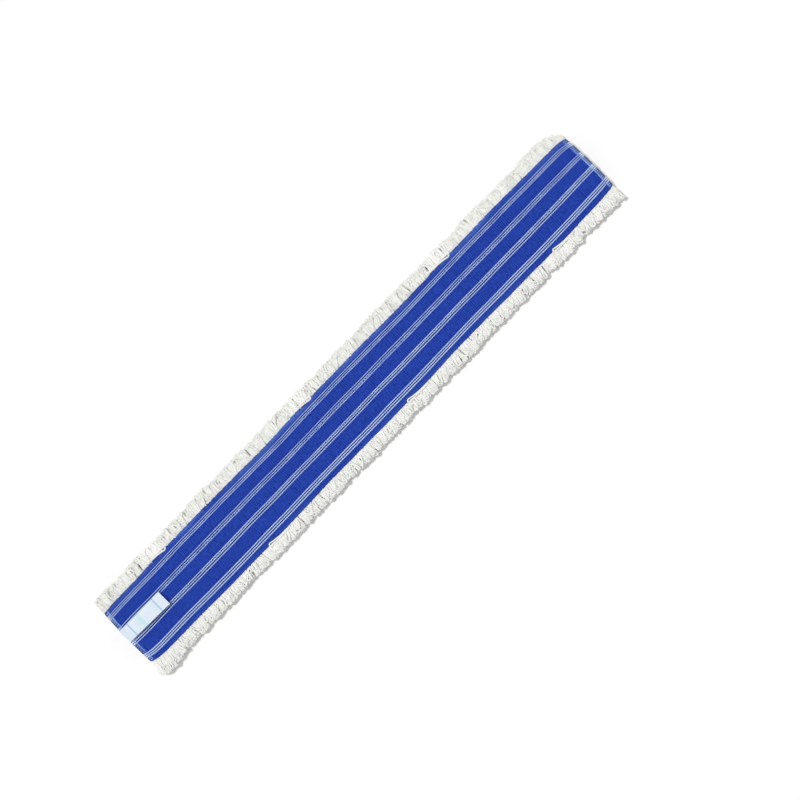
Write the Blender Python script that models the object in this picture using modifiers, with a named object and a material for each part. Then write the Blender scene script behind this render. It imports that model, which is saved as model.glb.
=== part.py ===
"""Flat mop head: looped yarn sewn in four bands under a folded backing cloth, with a label at one end.

The mop lies on its pile with the backing up. X runs along it, Y across it and Z up, in metres.
"""

import math

import bmesh
import bpy
from mathutils import Vector
from mathutils.kdtree import KDTree

MM = 0.001

# Clear distance between pieces that touch on the real mop
SEAT_GAP = 0.3 * MM

# Backing cloth: the band pitches and the edge margins add up to its width
CLOTH_LENGTH = 797.6 * MM
CLOTH_THICKNESS = 2.0 * MM
EDGE_MARGIN_REAR = 8.2 * MM
BAND_PITCH_REAR = 21.3 * MM
BAND_PITCH_MIDDLE = 22.1 * MM
BAND_PITCH_FRONT = 24.7 * MM
EDGE_MARGIN_FRONT = 9.9 * MM
HEM_DEPTH = 15.0 * MM
HEM_FOLD_GAP = 0.6 * MM
HEM_FOLD_STEPS = 4

# The sewn ends of the cloth are drawn in at the corners and pressed down by the seam
END_DRAW_IN = 3.0 * MM
END_DRAW_LENGTH = 40.0 * MM
END_DIP = 0.4 * MM
END_RAMP = 4.0 * MM

# Chain stitching: three lines to a band, each in the groove that it pulls into the cloth
STITCH_LINES = 3
STITCH_PITCH = 2.7 * MM
STITCH_DIAMETER = 0.9 * MM
STITCH_PROUD = 0.4 * MM
STITCH_END_MARGIN = 0.6 * MM

# Looped yarn: laid to and fro across its band, its loops on both sides hanging to the floor
PILE_HEIGHT = 12.0 * MM
YARN_DIAMETER = 5.2 * MM
LOOP_GAP = 1.6 * MM
LOOP_TIP_SHARE = 0.17
LOOP_BELLY_SHARE = 0.27
BAND_GAP = 1.6 * MM
FRINGE_REACH = 17.0 * MM
FRINGE_WAVE = 1.2 * MM
FRINGE_WAVE_LENGTH = 31.0 * MM
FRINGE_BEND_DROP = 1.2 * MM
CORNER_LEAN = 15.0 * MM
CORNER_LEAN_POWER = 9

# Overlock seam round each cut end
OVERLOCK_WRAPS = 24
OVERLOCK_DIAMETER = 0.9 * MM
OVERLOCK_DEPTH = 6.0 * MM
OVERLOCK_CORNER_MARGIN = 1.5 * MM

# Label: a tape sewn on the left end seam, free past its fold
LABEL_LENGTH = 65.8 * MM
LABEL_WIDTH = 19.8 * MM
LABEL_THICKNESS = 0.5 * MM
LABEL_FROM_REAR_BAND = 11.0 * MM
LABEL_FOLD_MARGIN = 1.0 * MM
LABEL_AXIS_RISE = 0.6 * MM
TACK_DIAMETER = 0.8 * MM
TACK_SIDE_MARGIN = 1.2 * MM
TACK_STITCHES = 6
TACK_DEPTH = 2.4 * MM

# Heights, from the floor up
YARN_RADIUS = YARN_DIAMETER / 2
HEM_TOP = PILE_HEIGHT + CLOTH_THICKNESS
SHEET_BOTTOM = HEM_TOP + HEM_FOLD_GAP
SHEET_TOP = SHEET_BOTTOM + CLOTH_THICKNESS
STITCH_TOP = SHEET_TOP + STITCH_PROUD
GROOVE_FLOOR = STITCH_TOP - STITCH_DIAMETER - SEAT_GAP
OVERLOCK_TOP = STITCH_TOP + SEAT_GAP + OVERLOCK_DIAMETER
LABEL_BOTTOM = OVERLOCK_TOP + SEAT_GAP
LABEL_TOP = LABEL_BOTTOM + LABEL_THICKNESS
LABEL_AXIS_HEIGHT = LABEL_TOP + LABEL_AXIS_RISE

# Places along and across the mop
HALF_LENGTH = CLOTH_LENGTH / 2
CLOTH_WIDTH = (
    EDGE_MARGIN_REAR + BAND_PITCH_REAR + BAND_PITCH_MIDDLE + BAND_PITCH_FRONT + EDGE_MARGIN_FRONT
)
HALF_WIDTH = CLOTH_WIDTH / 2
REAR_OUTER = HALF_WIDTH - EDGE_MARGIN_REAR
REAR_INNER = REAR_OUTER - BAND_PITCH_REAR
FRONT_INNER = REAR_INNER - BAND_PITCH_MIDDLE
FRONT_OUTER = FRONT_INNER - BAND_PITCH_FRONT
BANDS = {
    "rear_outer": REAR_OUTER,
    "rear_inner": REAR_INNER,
    "front_inner": FRONT_INNER,
    "front_outer": FRONT_OUTER,
}
SEAM_START = HALF_LENGTH - OVERLOCK_DEPTH
RAMP_START = SEAM_START - END_RAMP
LABEL_END_X = -HALF_LENGTH
LABEL_FOLD_X = -SEAM_START + LABEL_FOLD_MARGIN
LABEL_CENTRE_Y = REAR_INNER - LABEL_FROM_REAR_BAND


def clear_scene():
    """Remove every object of the scene that the script starts in."""
    for old in list(bpy.data.objects):
        bpy.data.objects.remove(old, do_unlink=True)


def collection(name):
    """A new collection in the scene."""
    group = bpy.data.collections.new(name)
    bpy.context.scene.collection.children.link(group)
    return group


def finish(name, colour, roughness):
    """A plain material: linear colour and roughness."""
    made = bpy.data.materials.new(name)
    made.use_nodes = True
    shader = made.node_tree.nodes["Principled BSDF"]
    shader.inputs["Base Color"].default_value = (*colour, 1.0)
    shader.inputs["Roughness"].default_value = roughness
    shader.inputs["Metallic"].default_value = 0.0
    return made


def add(name, data, group, parent=None, material=None):
    """Put mesh or curve data in the scene as one named object."""
    made = bpy.data.objects.new(name, data)
    group.objects.link(made)
    made.parent = parent
    if material:
        data.materials.append(material)
    return made


def thread(name, points, diameter, sides_step, group, parent, material):
    """One unbroken thread along the points; a sides step of 0 gives 4 sides, and 1 gives 6."""
    curve = bpy.data.curves.new(name, "CURVE")
    curve.dimensions = "3D"
    curve.twist_mode = "Z_UP"
    curve.bevel_depth = diameter / 2
    curve.bevel_resolution = sides_step
    curve.use_fill_caps = True
    spline = curve.splines.new("POLY")
    spline.points.add(len(points) - 1)
    for place, point in zip(spline.points, points):
        place.co = (*point, 1.0)
    return add(name, curve, group, parent, material)


def least_gap(points, diameter):
    """Least clear distance between stretches of one thread that don't follow each other."""
    step = diameter / 2
    samples = []
    for start, end in zip(points, points[1:]):
        count = max(1, round((end - start).length / step))
        samples += [start.lerp(end, i / count) for i in range(count)]
    tree = KDTree(len(samples))
    for i, sample in enumerate(samples):
        tree.insert(sample, i)
    tree.balance()
    samples_in_a_bend = 6
    least = math.inf
    for i, sample in enumerate(samples):
        for _, j, distance in tree.find_range(sample, 4 * diameter):
            if abs(i - j) > samples_in_a_bend:
                least = min(least, distance)
    return least - diameter


def draw_in(x):
    """How far each long edge of the cloth is drawn in at x."""
    share = (abs(x) - (HALF_LENGTH - END_DRAW_LENGTH)) / END_DRAW_LENGTH
    return END_DRAW_IN * max(0.0, share) ** 2


def dip(x):
    """How far the cloth is pressed down at x by the end seam."""
    share = (abs(x) - RAMP_START) / END_RAMP
    return END_DIP * min(1.0, max(0.0, share))


def folded_section():
    """The inner face of the folded cloth, as (y, z) from one hem's raw edge round to the other's."""
    fold_radius = HEM_FOLD_GAP / 2
    fold_y = HALF_WIDTH - CLOTH_THICKNESS - fold_radius
    fold_z = HEM_TOP + fold_radius
    half = [(HALF_WIDTH - HEM_DEPTH, HEM_TOP)]
    for i in range(HEM_FOLD_STEPS + 1):
        angle = -math.pi / 2 + math.pi * i / HEM_FOLD_STEPS
        half.append((fold_y + fold_radius * math.cos(angle), fold_z + fold_radius * math.sin(angle)))
    return half + [(-y, z) for y, z in reversed(half)]


def backing_cloth(group, cutters, parent, material):
    """One sheet with both long edges folded under, drawn in at its ends and grooved by the stitching."""
    ends = [HALF_LENGTH, SEAM_START, RAMP_START, HALF_LENGTH - END_DRAW_LENGTH / 2]
    ends.append(HALF_LENGTH - END_DRAW_LENGTH)
    stations = [-x for x in ends] + list(reversed(ends))
    sheet = bmesh.new()
    row = [sheet.verts.new((stations[0], y, z)) for y, z in folded_section()]
    edges = [sheet.edges.new(pair) for pair in zip(row, row[1:])]
    for before, after in zip(stations, stations[1:]):
        moved = bmesh.ops.extrude_edge_only(sheet, edges=edges)["geom"]
        corners = [part for part in moved if isinstance(part, bmesh.types.BMVert)]
        bmesh.ops.translate(sheet, verts=corners, vec=(after - before, 0, 0))
        edges = [part for part in moved if isinstance(part, bmesh.types.BMEdge)]
    for corner in sheet.verts:
        x, y, z = corner.co
        corner.co = (x, y * (1 - draw_in(x) / HALF_WIDTH), z - dip(x))
    top = max(sheet.faces, key=lambda face: face.calc_center_median().z)
    if top.normal.z < 0 or top.calc_center_median().z < SHEET_BOTTOM - END_DIP:
        bmesh.ops.reverse_faces(sheet, faces=sheet.faces)
    mesh = bpy.data.meshes.new("backing_cloth")
    sheet.to_mesh(mesh)
    sheet.free()
    cloth = add("backing_cloth", mesh, group, parent, material)
    thicken = cloth.modifiers.new("cloth thickness", "SOLIDIFY")
    thicken.thickness = CLOTH_THICKNESS
    thicken.offset = 1.0
    thicken.use_even_offset = True
    cut = cloth.modifiers.new("stitch grooves", "BOOLEAN")
    cut.object = groove_cutter(cutters)
    cut.operation = "DIFFERENCE"
    return cloth


def stitch_places():
    """Name and y of every line of stitching."""
    middle = (STITCH_LINES - 1) / 2
    for band, y in BANDS.items():
        for line in range(STITCH_LINES):
            yield f"stitch_{band}_{line + 1}", y + (middle - line) * STITCH_PITCH


def groove_cutter(cutters):
    """A bar for each groove, longer than the cloth and standing above it."""
    width = STITCH_DIAMETER + 2 * SEAT_GAP
    height = 2 * CLOTH_THICKNESS
    bars = bmesh.new()
    for _, y in stitch_places():
        bar = bmesh.ops.create_cube(bars, size=1.0)["verts"]
        bmesh.ops.scale(bars, vec=(CLOTH_LENGTH + 2 * OVERLOCK_DEPTH, width, height), verts=bar)
        bmesh.ops.translate(bars, vec=(0, y, GROOVE_FLOOR + height / 2), verts=bar)
    mesh = bpy.data.meshes.new("groove_cutter")
    bars.to_mesh(mesh)
    bars.free()
    cutter = add("groove_cutter", mesh, cutters)
    cutter.hide_render = True
    cutter.display_type = "WIRE"
    return cutter


def stitching(group, parent, material):
    """Twelve lines of chain stitching, each lying in its groove from end to end."""
    reach = HALF_LENGTH - STITCH_END_MARGIN
    z = STITCH_TOP - STITCH_DIAMETER / 2
    for name, y in stitch_places():
        ends = [Vector((-reach, y, z)), Vector((reach, y, z))]
        thread(name, ends, STITCH_DIAMETER, 1, group, parent, material)


def loop_centres():
    """Where each loop of a band stands along the mop, and how far apart the loops are."""
    reach = RAMP_START - YARN_DIAMETER
    pitch = 2 * (YARN_DIAMETER + LOOP_GAP)
    count = int(2 * reach / pitch)
    pitch = 2 * reach / count
    return [-reach + (i + 0.5) * pitch for i in range(count)], pitch


def laid_yarn(band_y, root_z, sides):
    """Points of one yarn laid to and fro: each side gives the way out and the places from root to tip.

    The first side's loops stand at the loop centres and the second side's between them. A place is
    (distance across from the band, height, half width of the loop as a share of the pitch, lean).
    """
    centres, pitch = loop_centres()
    points = []

    def loop(centre, way, places):
        out = [(centre + lean - half * pitch, across, z) for across, z, half, lean in places]
        back = [(centre + lean + half * pitch, across, z) for across, z, half, lean in reversed(places)]
        points.extend(Vector((x, band_y + way * across, z)) for x, across, z in out + back)

    (first_way, first_places), (second_way, second_places) = sides
    for i, centre in enumerate(centres):
        points.append(Vector((centre - pitch / 4, band_y, root_z)))
        loop(centre, first_way, first_places(centre))
        points.append(Vector((centre + pitch / 4, band_y, root_z)))
        if i + 1 < len(centres):
            between = centre + pitch / 2
            loop(between, second_way, second_places(between))
    return points


def inner_loops(pitch):
    """Loops that fill half the room to the next band and stand on the floor."""
    reach = pitch / 2 - YARN_RADIUS - BAND_GAP / 2
    return lambda x: [(reach, YARN_RADIUS, LOOP_TIP_SHARE, 0.0)]


def fringe_loops(margin, root_z):
    """Loops that bend over the hem and droop to the floor, their tips in a wave and fanned at the corners."""

    def places(x):
        wave = FRINGE_WAVE * math.sin(2 * math.pi * x / FRINGE_WAVE_LENGTH)
        lean = CORNER_LEAN * (x / HALF_LENGTH) ** CORNER_LEAN_POWER
        bend = margin + YARN_RADIUS
        tip = margin + FRINGE_REACH + wave - YARN_RADIUS
        return [
            (bend, root_z - FRINGE_BEND_DROP, LOOP_BELLY_SHARE, lean * bend / tip),
            (tip, YARN_RADIUS, LOOP_TIP_SHARE, lean),
        ]

    return places


def looped_bands(group, parent, material):
    """The four bands of looped yarn, each one unbroken yarn under its three lines of stitching."""
    hem_root = PILE_HEIGHT - SEAT_GAP - YARN_RADIUS
    sheet_root = SHEET_BOTTOM - SEAT_GAP - YARN_RADIUS
    rear, front = 1, -1
    rear_fringe = (rear, fringe_loops(EDGE_MARGIN_REAR, hem_root))
    front_fringe = (front, fringe_loops(EDGE_MARGIN_FRONT, hem_root))
    laid = {
        "rear_outer": (hem_root, (rear_fringe, (front, inner_loops(BAND_PITCH_REAR)))),
        "rear_inner": (
            sheet_root,
            ((rear, inner_loops(BAND_PITCH_REAR)), (front, inner_loops(BAND_PITCH_MIDDLE))),
        ),
        "front_inner": (
            sheet_root,
            ((rear, inner_loops(BAND_PITCH_MIDDLE)), (front, inner_loops(BAND_PITCH_FRONT))),
        ),
        "front_outer": (hem_root, (front_fringe, (rear, inner_loops(BAND_PITCH_FRONT)))),
    }
    for band, (root_z, sides) in laid.items():
        points = laid_yarn(BANDS[band], root_z, sides)
        thread(f"loops_{band}", points, YARN_DIAMETER, 0, group, parent, material)
        print(f"loops_{band}: least gap to itself {least_gap(points, YARN_DIAMETER) / MM:.2f} mm")


def cloth_underside(y):
    """Height of the lowest face of the pressed end of the cloth at y, kept low a little past the hem."""
    hem_ends = (HALF_WIDTH - HEM_DEPTH) * (1 - END_DRAW_IN / HALF_WIDTH)
    past_the_hem = 2 * OVERLOCK_DIAMETER
    level = PILE_HEIGHT if abs(y) > hem_ends - past_the_hem else SHEET_BOTTOM
    return level - END_DIP


def overlock(name, end, group, parent, material):
    """One thread that wraps the cut end to and fro; end is 1 for the right end and -1 for the left."""
    radius = OVERLOCK_DIAMETER / 2
    side = HALF_WIDTH - END_DRAW_IN - OVERLOCK_CORNER_MARGIN
    inner = end * (SEAM_START + radius)
    outer = end * (HALF_LENGTH + SEAT_GAP + radius)
    points = []
    for i in range(OVERLOCK_WRAPS):
        y = -side + 2 * side * i / (OVERLOCK_WRAPS - 1)
        low = cloth_underside(y) - SEAT_GAP - radius
        high = OVERLOCK_TOP - radius
        wrap = [(inner, y, low), (outer, y, low), (outer, y, high), (inner, y, high)]
        points += [Vector(point) for point in (wrap if i % 2 == 0 else reversed(wrap))]
    thread(name, points, OVERLOCK_DIAMETER, 0, group, parent, material)
    print(f"{name}: least gap to itself {least_gap(points, OVERLOCK_DIAMETER) / MM:.2f} mm")


def tape(name, start_x, end_x, group, parent, material):
    """A flat length of the label's tape between two places along the mop."""
    strip = bmesh.new()
    bmesh.ops.create_cube(strip, size=1.0)
    bmesh.ops.scale(strip, vec=(end_x - start_x, LABEL_WIDTH, LABEL_THICKNESS), verts=strip.verts)
    mesh = bpy.data.meshes.new(name)
    strip.to_mesh(mesh)
    strip.free()
    made = add(name, mesh, group, parent, material)
    centre = Vector(((start_x + end_x) / 2, LABEL_CENTRE_Y, (LABEL_BOTTOM + LABEL_TOP) / 2))
    made.location = centre - parent.location
    return made


def label(group, base, hinge, tape_material, tack_material):
    """The tape's sewn end on the seam, its free end on the fold line, and the tack that holds it."""
    tape("label_tab", LABEL_END_X, LABEL_FOLD_X - SEAT_GAP / 2, group, base, tape_material)
    free_end = LABEL_END_X + LABEL_LENGTH
    tape("label_flap", LABEL_FOLD_X + SEAT_GAP / 2, free_end, group, hinge, tape_material)
    radius = TACK_DIAMETER / 2
    side = LABEL_WIDTH / 2 - TACK_SIDE_MARGIN
    middle_x = (LABEL_END_X + LABEL_FOLD_X) / 2
    points = []
    for i in range(TACK_STITCHES + 1):
        y = LABEL_CENTRE_Y - side + 2 * side * i / TACK_STITCHES
        x = middle_x + TACK_DEPTH / 2 * (-1) ** i
        points.append(Vector((x, y, LABEL_TOP + SEAT_GAP + radius)))
    thread("label_tack", points, TACK_DIAMETER, 0, group, base, tack_material)


def build():
    """Assemble the mop head."""
    clear_scene()
    mop = collection("flat_mop")
    cutters = collection("cutters")
    base = add("mop_head", None, mop)
    hinge = add("label_hinge", None, mop)
    hinge.location = (LABEL_FOLD_X, LABEL_CENTRE_Y, LABEL_AXIS_HEIGHT)
    cloth_blue = finish("backing_blue", (0.021, 0.056, 0.371), 0.95)
    thread_white = finish("stitch_white", (0.72, 0.76, 0.84), 0.7)
    yarn_cream = finish("yarn_cream", (0.80, 0.80, 0.77), 0.95)
    overlock_blue = finish("overlock_blue", (0.13, 0.22, 0.48), 0.8)
    tape_white = finish("tape_white", (0.80, 0.84, 0.90), 0.6)
    tack_white = finish("tack_white", (0.70, 0.70, 0.74), 0.7)
    backing_cloth(mop, cutters, base, cloth_blue)
    stitching(mop, base, thread_white)
    looped_bands(mop, base, yarn_cream)
    overlock("overlock_left", -1, mop, base, overlock_blue)
    overlock("overlock_right", 1, mop, base, overlock_blue)
    label(mop, base, hinge, tape_white, tack_white)


build()
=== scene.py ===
import math

import bpy
import numpy as np
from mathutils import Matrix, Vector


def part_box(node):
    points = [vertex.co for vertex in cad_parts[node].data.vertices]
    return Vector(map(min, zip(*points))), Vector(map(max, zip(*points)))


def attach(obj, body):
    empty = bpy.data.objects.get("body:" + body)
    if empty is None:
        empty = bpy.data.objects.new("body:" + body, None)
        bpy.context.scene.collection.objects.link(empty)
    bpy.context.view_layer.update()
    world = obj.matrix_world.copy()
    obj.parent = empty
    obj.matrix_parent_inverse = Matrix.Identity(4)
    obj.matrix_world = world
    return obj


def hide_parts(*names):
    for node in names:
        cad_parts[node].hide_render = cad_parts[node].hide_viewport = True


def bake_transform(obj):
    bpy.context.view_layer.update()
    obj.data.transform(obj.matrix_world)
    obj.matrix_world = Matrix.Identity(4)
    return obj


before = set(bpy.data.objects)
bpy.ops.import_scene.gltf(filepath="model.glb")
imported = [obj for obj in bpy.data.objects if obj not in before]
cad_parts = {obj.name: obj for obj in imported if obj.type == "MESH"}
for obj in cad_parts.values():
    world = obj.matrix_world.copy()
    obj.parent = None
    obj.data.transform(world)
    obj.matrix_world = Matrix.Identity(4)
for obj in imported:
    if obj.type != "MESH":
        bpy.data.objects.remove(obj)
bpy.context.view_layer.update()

# The camera stands straight above the mop head, as the photograph's does. It is turned about
# its line of sight, so that the head lies at a slant with its label end at the lower left.
MM = 0.001
PICTURE_SIDE_PX = 800
CLOTH_PER_PX = 1.2003 * MM
HEAD_CENTRE_PX = (358.73, 399.69)
SLANT = math.radians(45.995)
LENS_MM = 100.0
SENSOR_MM = 36.0

cloth_low, cloth_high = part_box("backing_cloth")
picture_right = np.array([math.cos(SLANT), -math.sin(SLANT)])
picture_up = np.array([math.sin(SLANT), math.cos(SLANT)])
right_px = PICTURE_SIDE_PX / 2 - HEAD_CENTRE_PX[0]
up_px = HEAD_CENTRE_PX[1] - PICTURE_SIDE_PX / 2
camera_spot = (right_px * picture_right + up_px * picture_up) * CLOTH_PER_PX
camera_rise = PICTURE_SIDE_PX * CLOTH_PER_PX * LENS_MM / SENSOR_MM

scene = bpy.context.scene
camera_data = bpy.data.cameras.new("camera")
camera_data.lens = LENS_MM
camera_data.sensor_width = SENSOR_MM
camera = bpy.data.objects.new("camera", camera_data)
camera.location = (*camera_spot, cloth_high.z + camera_rise)
camera.rotation_euler = (0, 0, -SLANT)
scene.collection.objects.link(camera)
scene.camera = camera
scene.view_settings.view_transform = "Standard"

# The floor is a plain white studio sweep, lit by an even white surround and one soft lamp that
# stands towards the rear left. Their light together makes a colour look as it is written.
FLOOR_SIDE = 12.0
FLOOR_WHITE = 0.96
FLOOR_GLOW = 0.04
SURROUND = 0.48
LAMP_STRENGTH = 1.82
LAMP_HEIGHT = math.radians(67)
LAMP_TURN = math.radians(32)
LAMP_SPREAD = math.radians(8)


def node(tree, kind, inputs, **settings):
    """Adds a shader node. inputs maps a socket's name or number to a value, or to a socket to link."""
    made = tree.nodes.new("ShaderNode" + kind)
    for key, value in settings.items():
        setattr(made, key, value)
    for key, value in inputs.items():
        if isinstance(value, bpy.types.NodeSocket):
            tree.links.new(value, made.inputs[key])
        else:
            made.inputs[key].default_value = value
    return made


def math_node(tree, operation, *values):
    """The result of a Math node on one, two or three values or sockets."""
    return node(tree, "Math", dict(enumerate(values)), operation=operation).outputs[0]


def seen_directly(tree):
    """1 for rays that show the surface itself: in the picture, in a mirror or through glass."""
    rays = tree.nodes.new("ShaderNodeLightPath")
    shown = math_node(tree, "MAXIMUM", rays.outputs["Is Camera Ray"], rays.outputs["Is Glossy Ray"])
    return math_node(tree, "MAXIMUM", shown, rays.outputs["Is Transmission Ray"])


def new_piece(name, points, faces):
    """A smooth-shaded mesh object in the scene."""
    mesh = bpy.data.meshes.new(name)
    mesh.from_pydata(points.tolist(), [], faces)
    mesh.shade_smooth()
    made = bpy.data.objects.new(name, mesh)
    scene.collection.objects.link(made)
    return made


half = FLOOR_SIDE / 2
corners = np.array([(-half, -half, 0), (half, -half, 0), (half, half, 0), (-half, half, 0)])
floor = new_piece("floor", corners, [(0, 1, 2, 3)])
floor_paint = bpy.data.materials.new("floor_white")
floor_paint.use_nodes = True
tree = floor_paint.node_tree
tree.nodes.clear()
white = (FLOOR_WHITE, FLOOR_WHITE, FLOOR_WHITE, 1)
matt = node(tree, "BsdfDiffuse", {"Color": white})
glow_level = math_node(tree, "MULTIPLY", seen_directly(tree), FLOOR_GLOW)
glow = node(tree, "Emission", {"Strength": glow_level})
both = node(tree, "AddShader", {0: matt.outputs[0], 1: glow.outputs[0]})
node(tree, "OutputMaterial", {"Surface": both.outputs[0]})
floor.data.materials.append(floor_paint)

world = bpy.data.worlds.new("surround")
scene.world = world
world.use_nodes = True
tree = world.node_tree
tree.nodes.clear()
level = math_node(tree, "MULTIPLY_ADD", seen_directly(tree), 1 - SURROUND, SURROUND)
surround = node(tree, "Background", {"Color": (1, 1, 1, 1), "Strength": level})
node(tree, "OutputWorld", {"Surface": surround.outputs[0]})

lamp_data = bpy.data.lights.new("lamp", "SUN")
lamp_data.energy = LAMP_STRENGTH
lamp_data.angle = LAMP_SPREAD
lamp = bpy.data.objects.new("lamp", lamp_data)
lamp.rotation_euler = (-(math.pi / 2 - LAMP_HEIGHT), 0, LAMP_TURN)
scene.collection.objects.link(lamp)

# The backing cloth is one strip of royal blue brushed knit, its two long edges folded under as
# hems. The end seams draw its corners in, and the twelve stitch lines pull it down and pucker it.
LINES = (1, 2, 3)
BANDS = ("front_outer", "front_inner", "rear_inner", "rear_outer")
CLOTH_THICKNESS = 1.2 * MM
HEM_DEPTH = 15.0 * MM
HEM_RADIUS = 0.75 * MM
HEM_STEPS = 6
HEM_ROWS = 6
ALONG_STEP = 2.05 * MM
ACROSS_STEP = 2.3 * MM
SEAM_STEP = 0.45 * MM
SEAM_REACH = 1.3 * MM
CORNER_DRAW_IN = {(-1, 1): 1.8 * MM, (-1, -1): 4.8 * MM, (1, 1): 3.8 * MM, (1, -1): 2.4 * MM}
CORNER_DRAW_LENGTH = 40.0 * MM
CORNER_DRAW_POWER = 4
LEFT_END_SHORT = 0.2 * MM
LEFT_END_SKEW = 1.2 * MM
LEFT_END_BOW = 1.0 * MM
RIGHT_END_SHORT = 0.6 * MM
RIGHT_END_BOW = 1.2 * MM
END_LENGTH = 60.0 * MM
END_PRESS = 0.4 * MM
END_PRESS_LENGTH = 9.0 * MM
REAR_DROP = 2.0 * MM
REAR_DROP_POWER = 1.3
FRONT_DROP = 1.9 * MM
FRONT_DROP_POWER = 1.6
BAND_PULL = 0.45 * MM
BAND_PULL_REACH = 5.0 * MM
LINE_GROOVE = 0.4 * MM
LINE_GROOVE_REACH = 0.7 * MM
PUCKER = 0.16 * MM
PUCKER_REACH = 7.0 * MM
PUCKER_SLANT = 0.3
LINE_SHIFT_MM = {
    "front_outer": (0.35, 0.4, 0.45),
    "front_inner": (-0.35, -0.2, -0.25),
    "rear_inner": (-0.55, -0.4, -0.3),
    "rear_outer": (-1.6, -1.25, -0.85),
}
BAND_DRIFT_MM = {"front_outer": 0.4, "front_inner": 0.0, "rear_inner": -0.5, "rear_outer": -0.5}
SEAM_WANDER = 0.22 * MM
EDGE_WANDER = 0.25 * MM
SCALLOP = 0.75 * MM
SCALLOP_LENGTH = 250.0 * MM
SCALLOP_TOPS = (30.0 * MM, 0.0)
EDGE_OUT = (1.0 * MM, 0.4 * MM)
FRONT_TAPER = 0.8 * MM
FRONT_TAPER_SPAN = (-100.0 * MM, 60.0 * MM)
FRONT_TAPER_POWER = 1.5
SWELL = 0.25 * MM
CLOTH_BLUE = (41, 73, 182)
CLOTH_NAVY = (16, 34, 108)
SEAM_SHADE_NAVY = (14, 36, 116)
# The lighter blue of the end rub and of the painted margin highlight.
CLOTH_RUB_HIGHLIGHT = (80, 110, 192)
RIB_PITCH = 2.5 * MM
RIB_STRAY = 3.0
RIB_PATCH_STRAY = 1.2
RIB_SHADE = (0.03, 0.5)
TONE_MIDDLE = 0.33
PATCH_SCALE = (160.0, 70.0, 70.0)
COURSE_SCALE = (1050.0, 260.0, 260.0)
COURSE_SHADE = 0.32
# Painted shade along the stitch bands: the cloth between and beside a band's lines is mixed towards dark
# navy, with a fainter halo of painted shade round each band.
SEAM_SHADE = {"front": 0.95, "rear": 0.68}
SEAM_SHADE_REACH = 1.15
SEAM_HALO_SHADE = 0.22
SEAM_HALO_SHADE_REACH = 2
# Painted highlight: lighter cloth along both long margins, strongest on the rear one, which faces the
# lamp. The ends under the overlock are rubbed lighter.
MARGIN_HIGHLIGHT = {"rear": (0.2, 1.2), "front": (0.0, 0.3)}
MARGIN_START = 0.6 * MM
MARGIN_BLUR = 0.6 * MM
END_RUB = 0.9
END_RUB_DEPTH = 4.4 * MM
END_RUB_BLUR = 0.5 * MM
RUB_HIGHLIGHT_BY_TONE = -0.9
RUB_HIGHLIGHT_SPAN = (0.4, 1.4)
MAP_MARGIN = 0.04
MAP_FILL = 0.92
MAP_CAP = 0.45


def wander(rng, lengths, amount):
    """A line that strays evenly by about amount: sines of these lengths in mm, begun at random."""
    starts = rng.uniform(0, 2 * math.pi, len(lengths))

    def at(x):
        waves = [np.sin(2 * math.pi * x / (length * MM) + start) for length, start in zip(lengths, starts)]
        return amount * sum(waves) / math.sqrt(len(lengths))

    return at


def middle_y(name):
    low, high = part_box(name)
    return (low.y + high.y) / 2


half_length = cloth_high.x
half_width = cloth_high.y
cloth_top = cloth_high.z
line_y = {(band, n): middle_y(f"stitch_{band}_{n}") for band in BANDS for n in LINES}
line_pitch = line_y["rear_outer", 1] - line_y["rear_outer", 2]
for band, n in line_y:
    line_y[band, n] += LINE_SHIFT_MM[band][n - 1] * MM
band_y = {band: sum(line_y[band, n] for n in LINES) / len(LINES) for band in BANDS}
rng = np.random.default_rng(11)
knots = [-half_width, *(band_y[band] for band in BANDS), half_width]
strays = [wander(rng, (117, 183, 71), EDGE_WANDER if edge else SEAM_WANDER)
          for edge in (1, 0, 0, 0, 0, 1)]
drifts = [0.0, *(BAND_DRIFT_MM[band] * MM for band in BANDS), 0.0]
puckers = {band: wander(rng, (6.1, 8.7, 13.9), PUCKER) for band in BANDS}
swell = wander(rng, (88, 131, 207), SWELL)


def cloth_x(x, y):
    """Where a point marked on the flat cloth at (x, y) lies along the sewn head. Its ends are bowed."""
    near_left = np.clip((END_LENGTH - half_length - x) / END_LENGTH, 0, 1)
    near_right = np.clip((END_LENGTH - half_length + x) / END_LENGTH, 0, 1)
    across = y / half_width
    left = LEFT_END_SHORT + LEFT_END_SKEW * across + LEFT_END_BOW * across ** 2
    right = RIGHT_END_SHORT + RIGHT_END_BOW * across ** 2
    return x + near_left * left - near_right * right


def cloth_y(x, y):
    """Where a point marked on the flat cloth at (x, y) lies across the sewn head."""
    share = np.clip((np.abs(x) - half_length + CORNER_DRAW_LENGTH) / CORNER_DRAW_LENGTH, 0, 1)
    draw_in = sum(amount * ((x * end > 0) & (y * side > 0))
                  for (end, side), amount in CORNER_DRAW_IN.items())
    lain = y * (1 - draw_in / half_width * share ** CORNER_DRAW_POWER)
    for knot, (stray, drift) in enumerate(zip(strays, drifts)):
        stray_by = stray(x) + drift * x / (2 * half_length)
        lain = lain + stray_by * np.interp(y, knots, np.eye(len(knots))[knot])
    for side, top, out in zip((-1, 1), SCALLOP_TOPS, EDGE_OUT):
        bow = out + SCALLOP * np.cos(2 * math.pi * (x - top) / SCALLOP_LENGTH)
        lain = lain + side * bow * np.clip(side * y / half_width, 0, 1) ** 2
    taper = FRONT_TAPER * np.interp(x, FRONT_TAPER_SPAN, (0, 1))
    return lain + taper * np.clip(-y / half_width, 0, 1) ** FRONT_TAPER_POWER


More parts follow.
